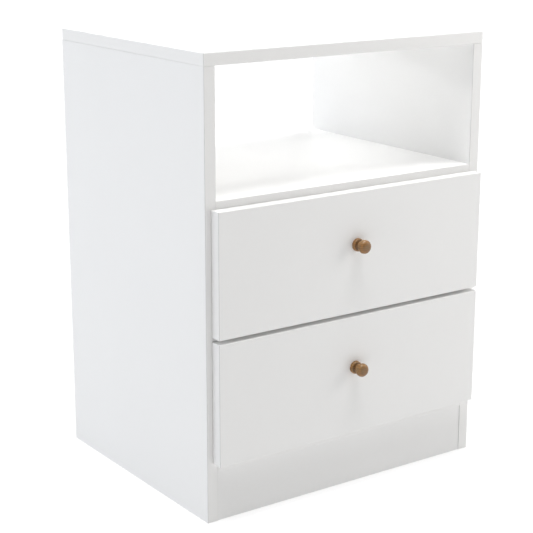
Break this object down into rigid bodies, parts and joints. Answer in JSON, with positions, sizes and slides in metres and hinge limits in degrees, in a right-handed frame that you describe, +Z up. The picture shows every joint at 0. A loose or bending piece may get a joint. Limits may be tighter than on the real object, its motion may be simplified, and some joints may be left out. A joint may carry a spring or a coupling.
{
  "type": "nightstand",
  "caption": "Upright white board nightstand: an open through niche under a flush top, above overlay drawers on roller runners, each pulled by a small turned wooden knob, on a full-width plinth.",
  "frame": {"origin": "on the floor, under the middle of the box that holds the whole nightstand, knobs included", "axes": "+Z up, +X to the right seen from the front, -Y the way the drawers open"},
  "size_m": [0.45, 0.3976, 0.604],
  "materials": {
    "white_board": "chipboard faced and edged in satin white",
    "white_drawer_board": "thin chipboard faced in satin white",
    "white_hardboard": "thin hardboard, white on its inner face",
    "turned_wood": "turned, stained and waxed",
    "beech_dowel": "bare fluted beech",
    "white_enamelled_steel": "white baked enamel",
    "nylon": "moulded white plastic",
    "zinc_steel": "bright zinc plating",
    "cast_zinc": "die-cast zinc"
  },
  "bodies": {
    "carcass": {"top_panel": "white_board", "side_panel_left": "white_board", "side_panel_right": "white_board", "niche_shelf": "white_board", "bottom_panel": "white_board", "cross_rail": "white_board", "plinth": "white_board", "back_panel": "white_hardboard", "cam_bolts": "zinc_steel", "cam_locks": "cast_zinc", "carcass_dowels": "beech_dowel", "rail_screws": "zinc_steel", "rail_roller_axles": "zinc_steel", "upper_left_rail": "white_enamelled_steel", "upper_right_rail": "white_enamelled_steel", "lower_left_rail": "white_enamelled_steel", "lower_right_rail": "white_enamelled_steel"},
    "upper_drawer": {"upper_drawer_front": "white_board", "upper_drawer_side_left": "white_drawer_board", "upper_drawer_side_right": "white_drawer_board", "upper_drawer_back": "white_drawer_board", "upper_drawer_bottom": "white_hardboard", "upper_drawer_knob": "turned_wood", "upper_drawer_knob_screw": "zinc_steel", "upper_drawer_runner_left": "white_enamelled_steel", "upper_drawer_runner_right": "white_enamelled_steel", "upper_drawer_runner_screws": "zinc_steel", "upper_drawer_roller_axles": "zinc_steel", "upper_drawer_cam_locks": "cast_zinc", "upper_drawer_cam_bolts": "zinc_steel", "upper_drawer_dowels": "beech_dowel", "upper_drawer_back_screws": "zinc_steel", "upper_drawer_bottom_nails": "zinc_steel"},
    "upper_left_rail_roller": {"upper_left_rail_roller": "nylon"},
    "upper_drawer_roller_left": {"upper_drawer_roller_left": "nylon"},
    "upper_right_rail_roller": {"upper_right_rail_roller": "nylon"},
    "upper_drawer_roller_right": {"upper_drawer_roller_right": "nylon"},
    "lower_drawer": {"lower_drawer_front": "white_board", "lower_drawer_side_left": "white_drawer_board", "lower_drawer_side_right": "white_drawer_board", "lower_drawer_back": "white_drawer_board", "lower_drawer_bottom": "white_hardboard", "lower_drawer_knob": "turned_wood", "lower_drawer_knob_screw": "zinc_steel", "lower_drawer_runner_left": "white_enamelled_steel", "lower_drawer_runner_right": "white_enamelled_steel", "lower_drawer_runner_screws": "zinc_steel", "lower_drawer_roller_axles": "zinc_steel", "lower_drawer_cam_locks": "cast_zinc", "lower_drawer_cam_bolts": "zinc_steel", "lower_drawer_dowels": "beech_dowel", "lower_drawer_back_screws": "zinc_steel", "lower_drawer_bottom_nails": "zinc_steel"},
    "lower_left_rail_roller": {"lower_left_rail_roller": "nylon"},
    "lower_drawer_roller_left": {"lower_drawer_roller_left": "nylon"},
    "lower_right_rail_roller": {"lower_right_rail_roller": "nylon"},
    "lower_drawer_roller_right": {"lower_drawer_roller_right": "nylon"}
  },
  "joints": [
    {"name": "upper_drawer_slide", "type": "slide", "parent": "carcass", "child": "upper_drawer", "axis": [0, -1, 0], "range_m": [0, 0.22]},
    {"name": "upper_left_rail_roller_spin", "type": "hinge", "parent": "carcass", "child": "upper_left_rail_roller", "pos_m": [-0.20275, -0.14525, 0.2892], "axis": [1, 0, 0], "continuous": true},
    {"name": "upper_drawer_roller_left_spin", "type": "hinge", "parent": "upper_drawer", "child": "upper_drawer_roller_left", "pos_m": [-0.20275, 0.13075, 0.2872], "axis": [1, 0, 0], "continuous": true},
    {"name": "upper_right_rail_roller_spin", "type": "hinge", "parent": "carcass", "child": "upper_right_rail_roller", "pos_m": [0.20275, -0.14525, 0.2892], "axis": [1, 0, 0], "continuous": true},
    {"name": "upper_drawer_roller_right_spin", "type": "hinge", "parent": "upper_drawer", "child": "upper_drawer_roller_right", "pos_m": [0.20275, 0.13075, 0.2872], "axis": [1, 0, 0], "continuous": true},
    {"name": "lower_drawer_slide", "type": "slide", "parent": "carcass", "child": "lower_drawer", "axis": [0, -1, 0], "range_m": [0, 0.22]},
    {"name": "lower_left_rail_roller_spin", "type": "hinge", "parent": "carcass", "child": "lower_left_rail_roller", "pos_m": [-0.20275, -0.14525, 0.1204], "axis": [1, 0, 0], "continuous": true},
    {"name": "lower_drawer_roller_left_spin", "type": "hinge", "parent": "lower_drawer", "child": "lower_drawer_roller_left", "pos_m": [-0.20275, 0.13075, 0.1184], "axis": [1, 0, 0], "continuous": true},
    {"name": "lower_right_rail_roller_spin", "type": "hinge", "parent": "carcass", "child": "lower_right_rail_roller", "pos_m": [0.20275, -0.14525, 0.1204], "axis": [1, 0, 0], "continuous": true},
    {"name": "lower_drawer_roller_right_spin", "type": "hinge", "parent": "lower_drawer", "child": "lower_drawer_roller_right", "pos_m": [0.20275, 0.13075, 0.1184], "axis": [1, 0, 0], "continuous": true}
  ],
  "couplings": [
    {"joint": "upper_left_rail_roller_spin", "follows": "upper_drawer_slide", "rad_per_m": 133.33},
    {"joint": "upper_drawer_roller_left_spin", "follows": "upper_drawer_slide", "rad_per_m": 133.33},
    {"joint": "upper_right_rail_roller_spin", "follows": "upper_drawer_slide", "rad_per_m": 133.33},
    {"joint": "upper_drawer_roller_right_spin", "follows": "upper_drawer_slide", "rad_per_m": 133.33},
    {"joint": "lower_left_rail_roller_spin", "follows": "lower_drawer_slide", "rad_per_m": 133.33},
    {"joint": "lower_drawer_roller_left_spin", "follows": "lower_drawer_slide", "rad_per_m": 133.33},
    {"joint": "lower_right_rail_roller_spin", "follows": "lower_drawer_slide", "rad_per_m": 133.33},
    {"joint": "lower_drawer_roller_right_spin", "follows": "lower_drawer_slide", "rad_per_m": 133.33}
  ]
}
